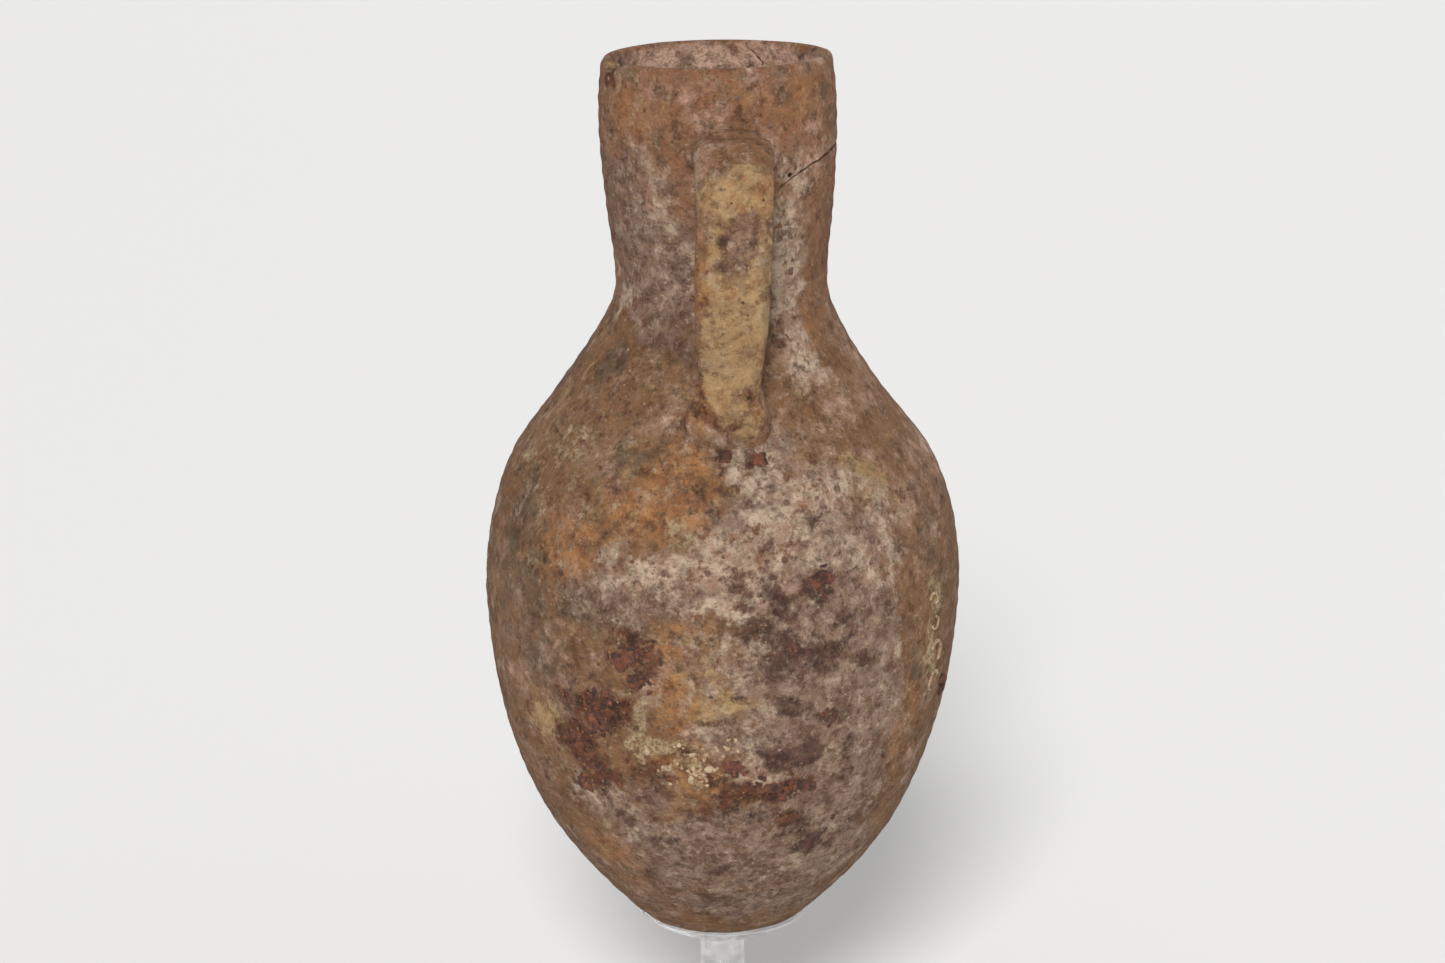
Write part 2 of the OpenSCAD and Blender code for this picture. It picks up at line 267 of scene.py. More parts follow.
def relief(point, azimuth, height, found):
    """How far the real surface stands out from the smooth outline, in millimetres."""
    wheel = 0.10 * math.sin(height * 1.05 + 2.5 * noise.noise(point / (30 * MM)))
    uneven = 0.55 * noise.noise(point / (55 * MM)) + 0.16 * rough(point, 9, 2.0)
    grain = 0.07 * rough(point, 2.8, 5.0, 2)
    lumps = max(0.0, rough(point, 4.5, 11.0, 3))
    bumps = 0.30 * found["crust"] * (0.6 + 0.8 * noise.noise(point / (3.2 * MM)))
    bumps += 0.75 * max(found["mauve"], 0.6 * found["crust"]) * max(0.0, rough(point, 3.4, 15.0, 3) - 0.12)
    bumps += (1.1 * found["iron"] + 0.9 * found["plum"]) * (0.25 + lumps)
    bumps += 0.7 * found["lime"] * lumps
    hollow = 0.35 * found["buff"] + 0.5 * found["soot"] * max(0.0, rough(point, 6, 21.0, 2))
    lip = smooth(292, 306, height)
    worn = 0.9 * lip * noise.noise(Vector((azimuth / 17, 0.3, height / 30)))
    # The left shoulder is fuller than the right one.
    full = 1.7 * max(0.0, -math.sin(math.radians(azimuth))) ** 2 * math.exp(-((height - 197) / 25) ** 2)
    return wheel + uneven * (1 - 0.4 * lip) + grain + bumps - hollow + worn - 0.6 + 0.45 * lip + full


# ---------------------------------------------------------------- mesh helpers

def finish_mesh(bm, name, smooth_faces=True):
    """Turns a bmesh into an object at the origin, with doubles merged and faces pointing outwards."""
    bmesh.ops.remove_doubles(bm, verts=bm.verts, dist=0.00001)
    bmesh.ops.recalc_face_normals(bm, faces=bm.faces)
    for face in bm.faces:
        face.smooth = smooth_faces
    mesh = bpy.data.meshes.new(name)
    bm.to_mesh(mesh)
    bm.free()
    if smooth_faces:
        mesh.set_sharp_from_angle(angle=math.radians(55))
    obj = bpy.data.objects.new(name, mesh)
    bpy.context.scene.collection.objects.link(obj)
    return obj


def spun(section, steps):
    """A bmesh of a section of radius and height rows, in vessel millimetres, spun round the axis."""
    bm = bmesh.new()
    verts = [bm.verts.new(place(90, h, max(r, 0.0))) for r, h in section]
    edges = [bm.edges.new(pair) for pair in zip(verts, verts[1:])]
    if section[0][0] > 0.01:
        edges.append(bm.edges.new((verts[-1], verts[0])))
    bmesh.ops.spin(bm, geom=verts + edges, cent=(0, 0, 0), axis=(0, 0, 1), dvec=(0, 0, 0),
                   angle=2 * math.pi, steps=steps, use_merge=True, use_duplicate=False)
    bmesh.ops.remove_doubles(bm, verts=bm.verts, dist=0.00001)
    bmesh.ops.recalc_face_normals(bm, faces=bm.faces)
    return bm


def changed_by(obj, kind, **settings):
    """The object with one modifier applied, so that no modifier stays on it."""
    modifier = obj.modifiers.new(kind.lower(), kind)
    for name, value in settings.items():
        setattr(modifier, name, value)
    seen = obj.evaluated_get(bpy.context.evaluated_depsgraph_get())
    mesh = bpy.data.meshes.new_from_object(seen)
    obj.modifiers.clear()
    old = obj.data
    obj.data = mesh
    bpy.data.meshes.remove(old)
    return obj


def shift_along_normals(obj, distance_at):
    """Moves every vertex along its normal by the millimetres that distance_at gives for its place."""
    normals = [vertex.normal.copy() for vertex in obj.data.vertices]
    for vertex, way in zip(obj.data.vertices, normals):
        vertex.co += way * distance_at(vertex.co) * MM


def paint_layers(obj, share=None):
    """Stores each layer's strength on the outside of a piece, for its material to read."""
    mesh = obj.data
    columns = {layer: [] for layer in LAYERS}
    for vertex in mesh.vertices:
        if share:
            found = share(vertex.co)
        else:
            azimuth, height, radius = address(vertex.co)
            found = layer_strengths(vertex.co, azimuth, height)
            inside = smooth(-2.2, -3.8, radius - outside_r(height))
            found = {layer: strength * (1 - inside) for layer, strength in found.items()}
            # The inside below the lip takes the inner layer: pinkish slip, painted paler than the slip itself as
            # painted light on the shaded inside.
            found["inner"] = inside * smooth(311, 305, height)
        for layer in LAYERS:
            columns[layer].append(found[layer])
    for layer, values in columns.items():
        store = mesh.attributes.new(layer, "FLOAT", "POINT")
        store.data.foreach_set("value", values)


# ---------------------------------------------------------------- belly and neck

LIP_MIDDLE = (OUTSIDE[-1] + INSIDE[-1]) / 2
WALL_STEPS = 330


def lip_arc(steps):
    """The rounded top of the lip, from the outside over to the inside."""
    angles = np.linspace(0, math.pi, steps + 1)[1:-1]
    half = (OUTSIDE[-1] - INSIDE[-1]) / 2
    side = np.array((-half[1], half[0]))
    return LIP_MIDDLE + np.cos(angles)[:, None] * half + np.sin(angles)[:, None] * side


def wall_normal(azimuth, height):
    """The outward direction of the smooth wall at a place."""
    slope = (outside_r(height + 0.5) - outside_r(height - 0.5)) / 1.0
    a = math.radians(azimuth)
    return Vector((math.sin(a), -math.cos(a), -slope)).normalized()


def weather(bm):
    """Moves every outside vertex by the relief, and gives the neck its lean."""
    bm.normal_update()
    moves = []
    for vert in bm.verts:
        azimuth, height, radius = address(vert.co)
        depth = radius - outside_r(min(height, VESSEL_H - LIP_HALF))
        skin = smooth(-2.6, -0.2, depth)
        shift = 0.3 * noise.noise(vert.co / (40 * MM)) * (1 - skin)
        if skin > 0:
            found = layer_strengths(vert.co, azimuth, height)
            shift += skin * relief(vert.co, azimuth, height, found)
        near_joint = depth > -0.3 and 20 < height < VESSEL_H - 4
        way = wall_normal(azimuth, height) if near_joint else vert.normal
        moves.append(vert.co + way * shift * MM)
    for vert, spot in zip(bm.verts, moves):
        vert.co = neck_lean(spot)


def belly_piece():
    """The belly and shoulder: one thrown wall from the tip to the bevel under the neck."""
    outer = spaced(stretch(OUTSIDE, 0, JOINT_OUT_H), 1.55)
    inner = spaced(stretch(INSIDE, INSIDE[0, 1], JOINT_IN_H), 5.0)
    bm = spun(np.vstack([outer, inner[::-1]]), WALL_STEPS)
    weather(bm)
    obj = finish_mesh(bm, "belly_and_shoulder")
    paint_layers(obj)
    return obj


# The break under the refitted sherd, seen along X: distance in Y, height above the tip.
BREAK = [
    (-31.5, 330), (-32.6, 298), (-31.4, 286), (-35.4, 270.0), (-33.0, 272.6), (-30.6, 274.6), (-27, 276.8),
    (-15, 279.8), (-5, 281), (6, 280), (14, 281.5), (22, 279), (29, 285), (32.5, 293), (31, 302), (34, 311),
    (33.2, 330),
]
GLUE_GAP = 1.0
# The adhesive fills this share of the wall's thickness, counted from the outside.
GLUE_DEPTHS = (0.30, 0.85)


def sherd_zone(grow, name):
    """A prism along X over the sherd, with a ragged edge. grow widens it by millimetres.

    The upright edges fit tightly, so there the gap is a quarter of grow.
    """
    ragged = []
    rng = random.Random(4)
    for (y0, h0), (y1, h1) in zip(BREAK, BREAK[1:]):
        cuts = max(int(math.hypot(y1 - y0, h1 - h0) / 1.6), 1)
        for k in range(cuts):
            t = k / cuts
            wobble = rng.uniform(-0.35, 0.35)
            ragged.append((y0 + (y1 - y0) * t + wobble, h0 + (h1 - h0) * t + wobble))
    ragged.append(BREAK[-1])
    bm = bmesh.new()
    corners = []
    for y, h in ragged:
        upright = h > 292
        wide = math.copysign(grow / 4, y) if upright else 0.0
        deep = 0.0 if upright else grow
        corners.append(bm.verts.new((8 * MM, (y + wide) * MM, TIP_Z + (h - deep) * MM)))
    face = bm.faces.new(corners)
    pushed = bmesh.ops.extrude_face_region(bm, geom=[face])
    far = [item for item in pushed["geom"] if isinstance(item, bmesh.types.BMVert)]
    bmesh.ops.translate(bm, verts=far, vec=(52 * MM, 0, 0))
    return finish_mesh(bm, name, smooth_faces=False)


def chip_tools():
    """Rough lumps that bite the chips out of the lip and the broken edge."""
    bm = bmesh.new()
    bites = [(-67, 309.5, 39.0, 4.6), (-61, 311.0, 37.0, 3.2), (-78, 310.8, 40.5, 2.8), (66, 310.6, 41.0, 2.4),
             (-14, 312.6, 40.0, 3.0), (20, 312.8, 41.0, 2.6), (33, 273.4, 38.4, 1.5), (150, 311.5, 40.5, 3.0),
             (-140, 312.0, 40.0, 3.2)]
    for azimuth, height, radius, size in bites:
        made = bmesh.ops.create_icosphere(bm, subdivisions=3, radius=size * MM,
                                          matrix=Matrix.Translation(neck_lean(place(azimuth, height, radius))))
        for vert in made["verts"]:
            vert.co += noise.noise_vector(vert.co / (1.6 * MM)) * 0.45 * MM
    return changed_by(finish_mesh(bm, "chip_tools"), "REMESH", mode="VOXEL", voxel_size=0.45 * MM)


def glue_wall():
    """A smooth wall inside the neck's wall, from which the adhesive in the break is cut."""
    faces = [spaced(stretch(OUTSIDE * (1 - depth) + INSIDE * depth, JOINT_OUT_H + 10, VESSEL_H - 5), 1.6)
             for depth in GLUE_DEPTHS]
    bm = spun(np.vstack([faces[0], faces[1][::-1]]), WALL_STEPS)
    for vert in bm.verts:
        vert.co = neck_lean(vert.co)
    return finish_mesh(bm, "joint_adhesive")


def neck_pieces():
    """The neck and its refitted sherd: one thrown wall, broken apart along a ragged line."""
    outer = spaced(stretch(OUTSIDE, JOINT_OUT_H, OUTSIDE[-1, 1]), 0.95)
    inner = spaced(stretch(INSIDE, JOINT_IN_H, INSIDE[-1, 1]), 2.2)
    bm = spun(np.vstack([outer, lip_arc(9), inner[::-1]]), WALL_STEPS)
    weather(bm)
    whole = finish_mesh(bm, "neck_wall")
    chips = chip_tools()
    changed_by(whole, "BOOLEAN", operation="DIFFERENCE", object=chips, solver="EXACT")
    bpy.data.objects.remove(chips)
    sherd = bpy.data.objects.new("refitted_neck_sherd", whole.data.copy())
    bpy.context.scene.collection.objects.link(sherd)
    glue = glue_wall()
    gap = sherd_zone(GLUE_GAP, "gap_tool")
    fill = sherd_zone(0.0, "sherd_tool")
    changed_by(whole, "BOOLEAN", operation="DIFFERENCE", object=gap, solver="EXACT")
    changed_by(sherd, "BOOLEAN", operation="INTERSECT", object=fill, solver="EXACT")
    changed_by(glue, "BOOLEAN", operation="INTERSECT", object=gap, solver="EXACT")
    changed_by(glue, "BOOLEAN", operation="DIFFERENCE", object=fill, solver="EXACT")
    bpy.data.objects.remove(gap)
    bpy.data.objects.remove(fill)
    whole.name = "neck_and_lip"
    for obj in (whole, sherd):
        paint_layers(obj)
    return whole, sherd, glue


# ---------------------------------------------------------------- handles

STRAP_W = 26.0
STRAP_T = 11.0
# Middle line and section: distance from the axis, height, width share, thickness share.
HANDLE = [
    (32, 281, 1.14, 1.25), (42, 282.5, 1.08, 1.15), (52, 281, 1.02, 1.04), (59.5, 274, 1.00, 1.00),
    (62.5, 261, 1.00, 1.00), (63.2, 247, 0.99, 1.00), (63, 233, 0.95, 1.00), (62, 220, 0.87, 1.00),
    (59.5, 208, 0.80, 1.05), (54, 196, 0.84, 1.10), (48, 185, 0.86, 1.10),
]
SIDES = 84


def handle_path(gap):
    """Rows of reach, height, width share and thickness share, about gap millimetres apart."""
    path = curve_through(HANDLE, 24)
    steps = np.linalg.norm(np.diff(path[:, :2], axis=0), axis=1)
    along = np.concatenate([[0], np.cumsum(steps)])
    places = np.linspace(0, along[-1], int(along[-1] / gap) + 1)
    return np.stack([np.interp(places, along, path[:, k]) for k in range(4)], axis=1)


def bent_round(path, lean, size_at, capped):
    """A tube round a path, as a bmesh. size_at gives half width and half thickness at each share.

    Each vertex comes with its address on the strap: turn round the section, and share along it.
    """
    rings = len(path)
    bm = bmesh.new()
    bmesh.ops.create_grid(bm, x_segments=SIDES, y_segments=rings - 1, size=1.0)
    runs = np.gradient(path[:, :2], axis=0)
    runs /= np.linalg.norm(runs, axis=1)[:, None]
    for vert in bm.verts:
        turn = vert.co.x * math.pi
        i = round((vert.co.y + 1) / 2 * (rings - 1))
        reach, height, wide, thick = path[i]
        half_w, half_t = size_at(i / (rings - 1), turn, wide, thick)
        u = half_w * soft_power(math.sin(turn), 0.82)
        v = half_t * soft_power(math.cos(turn), 0.82)
        side = lean * ((height - 196) / 86.5 - 0.5)
        vert.co = ((side + u) * MM, -(reach - runs[i, 1] * v) * MM, TIP_Z + (height + runs[i, 0] * v) * MM)
    bmesh.ops.remove_doubles(bm, verts=bm.verts, dist=0.00001)
    if capped:
        bmesh.ops.holes_fill(bm, edges=bm.edges, sides=0)
    bmesh.ops.recalc_face_normals(bm, faces=bm.faces)
    bm.normal_update()
    return bm


def soft_power(value, power):
    return math.copysign(abs(value) ** power, value)


# Patches on a handle's outer face: side from its middle, height, half width, half height, strength.
STRAP_PATCHES = {
    "buff": [(1, 270, 14, 12, 0.95), (1, 250, 12, 18, 1.0), (1, 230, 12, 18, 1.0), (2, 212, 11, 14, 1.0),
             (3, 200, 8, 9, 0.7)],
    "crust": [(-4, 281, 5, 4, 0.4), (6, 254, 4, 3, 0.4)],
    "mauve": [(1, 257, 7, 6, 0.75), (3, 263, 6, 5, 0.7), (-1, 251, 6, 4, 0.7)],
    "plum": [(0, 258, 6, 4, 0.4), (3, 263, 4, 3, 0.35), (-1, 250, 6, 2, 0.5)],
    "iron": [(-9, 203, 3, 5, 0.55), (7, 209, 2.5, 4, 0.5), (-1, 197, 5, 3, 0.4)],
    "lime": [(2, 286, 4, 2, 0.3), (-5, 231, 2, 3, 0.25)],
    "ochre": [(3, 259, 8, 8, 0.75), (10, 272, 4, 8, 0.5), (-11, 246, 2.5, 18, 0.7), (-10, 203, 5, 9, 0.8),
              (8, 205, 3, 7, 0.5), (0, 284, 12, 3, 0.3)],
    "soot": [(12, 236, 2, 24, 0.4), (-11, 262, 2, 12, 0.3)],
}


BACK_STRAP_PATCHES = {
    "buff": [(-2, 236, 9, 20, 0.7), (4, 206, 7, 10, 0.6)],
    "crust": [(2, 266, 11, 12, 0.8), (-6, 246, 5, 12, 0.6), (5, 221, 6, 9, 0.7)],
    "mauve": [(-3, 258, 9, 14, 0.7), (6, 213, 6, 12, 0.6), (0, 282, 12, 5, 0.5)],
    "plum": [(4, 270, 4, 3, 0.5), (-5, 219, 3, 4, 0.5)],
    "iron": [(-7, 205, 4, 4, 0.6)],
    "lime": [(6, 251, 3, 3, 0.4)],
    "ochre": [(-8, 276, 6, 8, 0.6), (8, 236, 4, 16, 0.6), (-4, 199, 8, 5, 0.6)],
    "soot": [(-10, 236, 3, 24, 0.5), (3, 244, 5, 8, 0.3)],
}


def strap_strengths(point, lean, front):
    """How much of each layer lies on a handle at a point. The outer face carries most of it."""
    height = (point.z - TIP_Z) / MM
    side = point.x / MM * front - lean * ((height - 196) / 86.5 - 0.5)
    reach = abs(point.y) / MM
    outer = smooth(-1.0, 2.2, reach - float(np.interp(height, HANDLE_H, HANDLE_REACH)))
    over_top = smooth(-1.0, 2.2, height - float(np.interp(reach, (32, 42, 52, 59.5), (281, 282.5, 281, 274))))
    outer = max(outer, over_top)
    drift = wander(point, 9, 5.1 + front) * 2.2 + wander(point, 3, 1.7) * 1.1
    found = {}
    for layer, patches in (STRAP_PATCHES if front > 0 else BACK_STRAP_PATCHES).items():
        most = 0.0
        for spot_side, spot_h, half_w, half_h, strength in patches:
            across = (side - spot_side + drift.x) / half_w
            up = (height - spot_h + drift.z) / half_h
            far = math.hypot(across, up)
            most = max(most, strength * smooth(1.3, 0.75, far))
        found[layer] = most * outer
    found["inner"] = 0.0
    return found


HANDLE_H = [185, 196, 208, 220, 233, 247, 261, 274, 281]
HANDLE_REACH = [48, 54, 59.5, 62, 63, 63.2, 62.5, 59.5, 52]


def strap_relief(point, found):
    """How far a handle's surface stands out from its smooth section, in millimetres."""
    pulled = 0.14 * noise.noise(Vector((point.x / (3.4 * MM), point.y / (5 * MM), point.z / (46 * MM))))
    uneven = 0.42 * noise.noise(point / (26 * MM)) + 0.14 * rough(point, 6, 4.0)
    lumps = max(0.0, rough(point, 3.6, 12.0, 3))
    bumps = 0.28 * found["crust"] + (0.7 * found["iron"] + 0.6 * found["plum"]) * (0.2 + lumps)
    return pulled + uneven + bumps + 0.3 * found["lime"] * lumps - 0.3 * found["soot"] * lumps - 0.35


def stop_in_wall(obj):
    """Cuts off the end of a strap or its luting halfway through the vessel's wall."""
    low, high = 150, 305
    middle = spaced(stretch((OUTSIDE + INSIDE) / 2, low, high), 3.0)
    bm = spun(np.vstack([(0, low), middle, (0, high)]), 120)
    for vert in bm.verts:
        vert.co = neck_lean(vert.co)
    core = finish_mesh(bm, "wall_middle")
    changed_by(obj, "BOOLEAN", operation="DIFFERENCE", object=core, solver="EXACT")
    bpy.data.objects.remove(core)


def strap_piece(name, lean, front):
    """One pulled clay strap, from inside the neck to inside the shoulder."""

    def size_at(share, turn, wide, thick):
        return wide * STRAP_W / 2, thick * STRAP_T / 2

    bm = bent_round(handle_path(0.95), lean, size_at, capped=True)
    moves = []
    for vert in bm.verts:
        found = strap_strengths(vert.co, lean, front)
        moves.append(vert.co + vert.normal * strap_relief(vert.co * front, found) * MM)
    for vert, spot in zip(bm.verts, moves):
        vert.co = spot
    if front < 0:
        bmesh.ops.rotate(bm, verts=bm.verts, cent=(0, 0, 0), matrix=Matrix.Rotation(math.pi, 3, "Z"))
    obj = finish_mesh(bm, name)
    stop_in_wall(obj)
    paint_layers(obj, lambda point: strap_strengths(point, lean, front))
    return obj


def luting_piece(name, lean, front, upper):
    """Clay smeared round a strap's end: a sleeve that flares out and thins away on the wall."""
    path = handle_path(0.8)
    heights = path[:, 1]
    reach = path[:, 0]
    if upper:
        part = path[(reach < 45) & (heights > 276)]
        wall_first = True
    else:
        part = path[(heights < 209) & (reach > 46)]
        wall_first = False

    def size_at(share, turn, wide, thick):
        near = 1 - share if wall_first else share
        ragged = 0.18 * math.sin(3 * turn + 1.3) + 0.10 * math.sin(7 * turn)
        reach_up, flare = ((0.4, 1.0), 2.6) if upper else ((0.05, 0.55), 2.4)
        swell = -0.9 + 1.9 * smooth(0.0, reach_up[1] * 0.45, near + ragged)
        swell += flare * smooth(*reach_up, near) ** 1.4
        return wide * STRAP_W / 2 + swell, thick * STRAP_T / 2 + swell

    bm = bent_round(part, lean, size_at, capped=True)
    moves = []
    for vert in bm.verts:
        bump = 0.3 * noise.noise(vert.co * front / (7 * MM)) + 0.15 * rough(vert.co * front, 3, 9.0)
        moves.append(vert.co + vert.normal * bump * MM)
    for vert, spot in zip(bm.verts, moves):
        vert.co = spot
    if front < 0:
        bmesh.ops.rotate(bm, verts=bm.verts, cent=(0, 0, 0), matrix=Matrix.Rotation(math.pi, 3, "Z"))
    obj = finish_mesh(bm, name)
    stop_in_wall(obj)
    paint_layers(obj, lambda point: strap_strengths(point, lean, front))
    return obj


# ---------------------------------------------------------------- crust lumps

# Azimuth, height, size of the ball under the lump, and how far it stands out, in millimetres.
NODULES = [
    (-22, 125, 5, 1.5), (-27, 121, 5, 1.4), (-23, 114, 6, 1.6), (-33, 105, 6, 1.8), (-34, 97, 5, 1.8),
    (-42, 88, 5, 2.0), (-37, 81, 6, 2.0), (-42, 73, 5, 1.8), (0, 83, 4, 1.4), (8, 77, 5, 1.8),
    (14, 74, 5, 2.2), (19, 76, 4, 1.6), (23, 100, 5, 1.6), (21, 147, 5, 1.3), (15, 125, 3.5, 1.1),
    (8, 185, 2.6, 0.8), (-2, 186, 2.4, 0.7), (69, 97, 4, 1.8),
]
# Azimuth, height, length, turn on the wall, tilt.
FLAKES = [
    (-22, 88, 6, 20, 8), (-17, 83, 7, -15, 10), (-11, 88, 7, 40, -8), (-11, 79, 6, 70, 10),
    (-6, 83, 7, 10, 12), (-2, 91, 5, -40, 9),
]
# Azimuth, height, ring radius, rim thickness.
SCARS = [(57, 131, 3, 1.3), (58, 123, 2.8, 1.2), (60, 112, 4.6, 1.5), (61, 101, 4.2, 1.4)]


def on_wall(azimuth, height, proud=0.0):
    """A matrix with its Z along the wall's outward normal and its Y up the wall."""
    rise = outside_r(height + 2) - outside_r(height - 2)
    tilt = math.atan2(rise, 4)
    a = math.radians(azimuth)
    out = Vector((math.sin(a) * math.cos(tilt), -math.cos(a) * math.cos(tilt), -math.sin(tilt)))
    across = Vector((math.cos(a), math.sin(a), 0))
    up = out.cross(across)
    spot = place(azimuth, height, outside_r(height) - 0.6) + out * proud * MM
    return Matrix.Translation(spot) @ Matrix((across, up, out)).transposed().to_4x4()


def grain_shape():
    """One rounded grain a millimetre in radius, which the crumbs are copies of."""
    bm = bmesh.new()
    bmesh.ops.create_icosphere(bm, subdivisions=2, radius=MM)
    mesh = bpy.data.meshes.new("grain")
    bm.to_mesh(mesh)
    bm.free()
    return mesh


GRAIN = grain_shape()


def crumbs(bm, rng, azimuth, height, spread, count, small, large, flat, lift):
    """Scatters small rounded grains over a patch of the wall."""
    for k in range(count):
        far = spread * math.sqrt(rng.random())
        turn = rng.uniform(0, 2 * math.pi)
        size = rng.uniform(small, large)
        rise = lift * (1 - (far / spread) ** 2) * rng.uniform(0.2, 1.0)
        put = on_wall(azimuth, height) @ Matrix.Translation(
            (far * math.cos(turn) * MM, far * math.sin(turn) * MM, rise * MM))
        stretched = Matrix.Diagonal((rng.uniform(0.75, 1.3), rng.uniform(0.75, 1.3), flat, 1))
        turned = Matrix.Rotation(rng.uniform(0, math.pi), 4, "Z")
        copy = GRAIN.copy()
        copy.transform(put @ turned @ stretched @ Matrix.Scale(size, 4))
        bm.from_mesh(copy)
        bpy.data.meshes.remove(copy)


def roughened(obj, depth, size):
    """Pushes every vertex in or out along its normal by noise of a given size."""
    shift_along_normals(obj, lambda point: depth * rough(point, size, 3.0, 3))
    obj.data.shade_smooth()
    obj.data.update()


def nodule_piece():
    """Rust-coloured nodules: clusters of small grains grown together and onto the wall."""
    rng = random.Random(21)
    bm = bmesh.new()
    for azimuth, height, ball, proud in NODULES:
        cap = math.sqrt(ball ** 2 - (ball - proud) ** 2)
        crumbs(bm, rng, azimuth, height, cap * 0.95, 20, 0.6, 1.35, 0.8, proud * 0.5)
        crumbs(bm, rng, azimuth, height, cap * 1.5, 12, 0.45, 0.9, 0.7, 0.1)
    obj = finish_mesh(bm, "rust_coloured_nodules")
    changed_by(obj, "REMESH", mode="VOXEL", voxel_size=0.28 * MM)
    roughened(obj, 0.16, 1.1)
    return obj


def flake_piece():
    """Shards and crumbs of lime stuck on the wall."""
    rng = random.Random(8)
    bm = bmesh.new()
    for azimuth, height, length, turn, tilt in FLAKES:
        crumbs(bm, rng, azimuth, height, length * 0.9, 12, 0.35, 0.95, 0.7, 0.3)
        lean = Matrix.Rotation(math.radians(tilt), 4, "X") @ Matrix.Rotation(math.radians(tilt / 2), 4, "Y")
        sides = Matrix.Diagonal((length * 0.30, length * 0.20, 0.75, 1))
        put = on_wall(azimuth, height, 0.25) @ Matrix.Rotation(math.radians(turn), 4, "Z") @ lean @ sides
        made = bmesh.ops.create_icosphere(bm, subdivisions=3, radius=MM, matrix=put)
        for vert in made["verts"]:
            vert.co += noise.noise_vector(vert.co / (2.6 * MM)) * 0.8 * MM
    obj = finish_mesh(bm, "lime_shards")
    changed_by(obj, "REMESH", mode="VOXEL", voxel_size=0.28 * MM)
    roughened(obj, 0.2, 1.6)
    return obj


def scar_piece():
    """Broken rims of old shells cemented to the wall."""
    whole = bmesh.new()
    for azimuth, height, ring, thick in SCARS:
        bm = bmesh.new()
        upright = Matrix.Translation((ring * 0.8 * MM, 0, 0)) @ Matrix.Rotation(math.pi / 2, 4, "X")
        bmesh.ops.create_circle(bm, cap_ends=False, segments=10, radius=thick * 0.42 * MM, matrix=upright)
        missing = 2.4 + 0.8 * noise.noise(Vector((azimuth, height, 0)))
        bmesh.ops.spin(bm, geom=list(bm.verts) + list(bm.edges), cent=(0, 0, 0), axis=(0, 0, 1),
                       dvec=(0, 0, 0), angle=2 * math.pi - missing, steps=44, use_merge=False,
                       use_duplicate=False)
        bmesh.ops.holes_fill(bm, edges=bm.edges, sides=0)
        put = on_wall(azimuth, height) @ Matrix.Rotation(height, 4, "Z")
        bmesh.ops.transform(bm, matrix=put, verts=bm.verts)
        rim = bpy.data.meshes.new("shell_rim")
        bm.to_mesh(rim)
        bm.free()
        whole.from_mesh(rim)
        bpy.data.meshes.remove(rim)
    for vert in whole.verts:
        vert.co += noise.noise_vector(vert.co / (2.2 * MM)) * 0.45 * MM
    return finish_mesh(whole, "old_shell_rims")


# ---------------------------------------------------------------- clear stand

SEAT_R = 60.3
DISH_R = 49.0
DISH_EDGE_H = 7.0
DISH_T = 3.0
STEM_R = 7.8
SPIGOT_R = 4.0
SPIGOT_L = 5.0
BOSS_L = 8.0
BASE_R = 58.0
BASE_T = 8.0
STEM_L = 38.0
FLOOR_H = -TIP_Z / MM


def arc(mid_r, mid_h, radius, start, end, steps):
    """Points on an arc, in degrees from straight down towards the outside."""
    return [(mid_r + radius * math.sin(math.radians(a)), mid_h - radius * math.cos(math.radians(a)))
            for a in np.linspace(start, end, steps + 1)]


def dish_piece():
    """The shallow dish that cups the tip, with a short boss under it, turned and polished."""
    bottom = FLOOR_H + BASE_T + STEM_L
    outer_mid = bottom + BOSS_L + DISH_R
    inner_reach = math.degrees(math.acos((TIP_R - DISH_EDGE_H + 0.5) / SEAT_R))
    outer_reach = math.degrees(math.acos((outer_mid - DISH_EDGE_H + 0.5) / DISH_R))
    inner = arc(0, TIP_R, SEAT_R, 0, inner_reach, 30)
    outer = arc(0, outer_mid, DISH_R, outer_reach, 13.0, 30)
    lip_in, lip_out = inner[-1], outer[0]
    middle = ((lip_in[0] + lip_out[0]) / 2, DISH_EDGE_H)
    lip = [((lip_in[0] * 2 + middle[0]) / 3, DISH_EDGE_H - 0.12), middle,
           ((lip_out[0] * 2 + middle[0]) / 3, DISH_EDGE_H - 0.12)]
    foot = outer[-1]
    fillet = [(STEM_R + (foot[0] - STEM_R) * (1 - t) ** 2, foot[1] - 2.2 * t ** 2 - 0.5 * t)
              for t in np.linspace(0.15, 1, 7)]
    under = [(STEM_R, bottom + 0.4), (STEM_R - 0.4, bottom), (SPIGOT_R, bottom),
             (SPIGOT_R, bottom + SPIGOT_L), (0, bottom + SPIGOT_L)]
    bm = spun(np.array(inner + lip + outer + fillet + under), 160)
    return finish_mesh(bm, "clear_dish")


def stem_piece():
    """The clear rod between dish and base, with a spigot at each end."""
    low, high = FLOOR_H + BASE_T, FLOOR_H + BASE_T + STEM_L
    outline = [(0, low - SPIGOT_L), (SPIGOT_R, low - SPIGOT_L), (SPIGOT_R, low), (STEM_R - 0.4, low),
               (STEM_R, low + 0.4), (STEM_R, high - 0.4), (STEM_R - 0.4, high), (SPIGOT_R, high),
               (SPIGOT_R, high + SPIGOT_L), (0, high + SPIGOT_L)]
    return finish_mesh(spun(np.array(outline), 120), "clear_stem")


